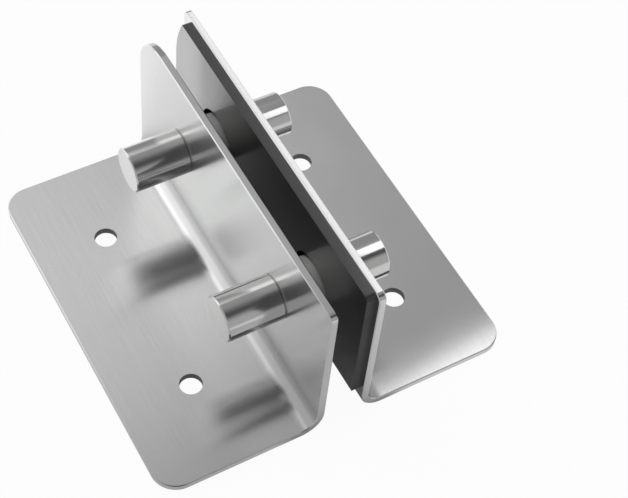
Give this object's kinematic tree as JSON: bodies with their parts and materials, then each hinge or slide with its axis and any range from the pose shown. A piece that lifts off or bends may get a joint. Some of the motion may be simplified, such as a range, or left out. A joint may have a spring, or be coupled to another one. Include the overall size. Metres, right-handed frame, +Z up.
{
  "type": "glass fin plate",
  "caption": "Floor-fixed clamp for a glass fin: bent steel angles back to back, a rubber pad in the slot, and bushed barrel bolts across it.",
  "frame": {"origin": "on the floor, midway across the slot between the flanges and midway along the plates", "axes": "+Z up, +Y along the bends towards the rounded end of the flanges, +X across the slot towards the padded right plate"},
  "size_m": [0.148, 0.15, 0.074],
  "materials": {
    "satin_steel": "satin, fine grain along the plate",
    "turned_steel": "fine turned, semi-bright",
    "pad_rubber": "smooth, semi-gloss black",
    "bush_plastic": "plain moulded, pale grey"
  },
  "bodies": {
    "root": {"left_angle_plate": "satin_steel", "right_angle_plate": "satin_steel", "glazing_pad": "pad_rubber", "near_barrel_bolt": "turned_steel", "near_barrel_nut": "turned_steel", "near_bush": "bush_plastic", "far_barrel_bolt": "turned_steel", "far_barrel_nut": "turned_steel", "far_bush": "bush_plastic"}
  },
  "joints": []
}
